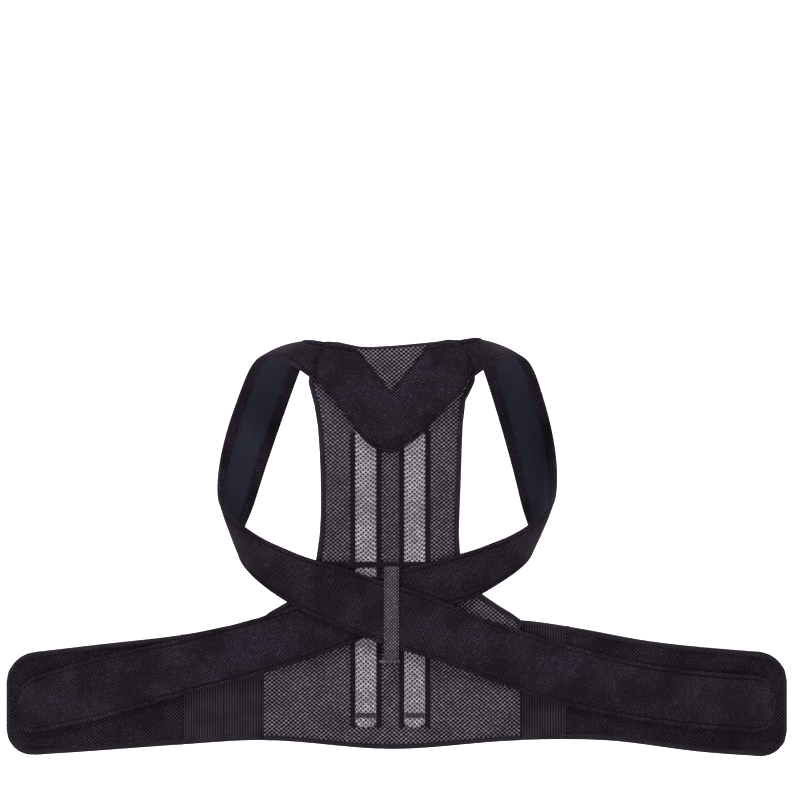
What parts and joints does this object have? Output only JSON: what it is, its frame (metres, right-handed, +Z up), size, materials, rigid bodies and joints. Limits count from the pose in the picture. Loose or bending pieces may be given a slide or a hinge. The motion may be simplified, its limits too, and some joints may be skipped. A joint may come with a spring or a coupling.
{
  "type": "back brace",
  "caption": "Upper and lower back brace: stayed mesh back panel with neoprene yoke, crossed shoulder straps and a wrap-round belt that fastens by hook tape.",
  "frame": {"origin": "middle of the flat lumbar face, the inner side of the back panel that rests on the wearer's lower back", "axes": "+X towards the wearer's right, along the belt; +Y from the brace to the wearer; +Z up along the spine"},
  "size_m": [0.9092, 0.1243, 0.4856],
  "materials": {
    "neoprene": "fine knit laminated on neoprene foam",
    "mesh": "open spacer mesh",
    "elastic": "ribbed woven elastic",
    "lining": "smooth brushed knit",
    "binding": "folded polyester binding",
    "foam": "matte spacer foam",
    "stay": "satin",
    "hook": "moulded hook tape"
  },
  "bodies": {
    "back": {"back_lining": "lining", "spacer_core": "foam", "back_mesh_panel": "mesh", "left_stay": "stay", "right_stay": "stay", "left_channel_tape": "binding", "right_channel_tape": "binding", "yoke": "neoprene", "yoke_mesh_insert": "mesh", "neck_binding": "binding", "left_side_binding": "binding", "right_side_binding": "binding", "hem_binding": "binding", "left_strap_crossing": "neoprene", "right_strap_crossing": "neoprene", "strap_keeper": "mesh"},
    "left_loop": {"left_strap_loop": "neoprene", "left_strap_lining": "lining"},
    "right_loop": {"right_strap_loop": "neoprene", "right_strap_lining": "lining"},
    "left_side": {"left_elastic_panel": "elastic", "right_strap_side": "neoprene"},
    "right_side": {"right_elastic_panel": "elastic", "left_strap_side": "neoprene"},
    "left_wing": {"left_wing": "neoprene", "left_wing_binding": "binding", "belt_hook_patch": "hook", "right_strap_run": "neoprene"},
    "right_wing": {"right_wing": "neoprene", "right_wing_binding": "binding", "left_strap_run": "neoprene"},
    "left_tail": {"left_strap_tail": "neoprene", "left_tail_hook": "hook"},
    "right_tail": {"right_strap_tail": "neoprene", "right_tail_hook": "hook"}
  },
  "joints": [
    {"name": "left_loop_swing", "type": "hinge", "parent": "back", "child": "left_loop", "pos_m": [-0.102, -0.0145, 0.116], "axis": [0.0273, -0.0487, 0.9984], "range_deg": [0, 60]},
    {"name": "right_loop_swing", "type": "hinge", "parent": "back", "child": "right_loop", "pos_m": [0.0924, -0.0119, 0.129], "axis": [-0.0094, 0.062, -0.998], "range_deg": [0, 60]},
    {"name": "left_side_wrap", "type": "hinge", "parent": "back", "child": "left_side", "pos_m": [-0.1474, 0.0006, 0], "axis": [0, 0, -1], "range_deg": [0, 55]},
    {"name": "right_side_wrap", "type": "hinge", "parent": "back", "child": "right_side", "pos_m": [0.1474, 0.0006, 0], "axis": [0, 0, 1], "range_deg": [0, 55]},
    {"name": "left_wing_wrap", "type": "hinge", "parent": "left_side", "child": "left_wing", "pos_m": [-0.239, 0.0064, 0], "axis": [0, 0, -1], "range_deg": [0, 55]},
    {"name": "right_wing_wrap", "type": "hinge", "parent": "right_side", "child": "right_wing", "pos_m": [0.2, 0.0026, 0], "axis": [0, 0, 1], "range_deg": [0, 55]},
    {"name": "left_tail_peel", "type": "hinge", "parent": "right_wing", "child": "left_tail", "pos_m": [0.3304, 0.0149, -0.02], "axis": [0, 0, -1], "range_deg": [0, 120]},
    {"name": "right_tail_peel", "type": "hinge", "parent": "left_wing", "child": "right_tail", "pos_m": [-0.3304, 0.0149, -0.01], "axis": [0, 0, 1], "range_deg": [0, 120]}
  ],
  "couplings": [
    {"joint": "left_wing_wrap", "follows": "left_side_wrap", "ratio": 1},
    {"joint": "right_wing_wrap", "follows": "right_side_wrap", "ratio": 1}
  ]
}
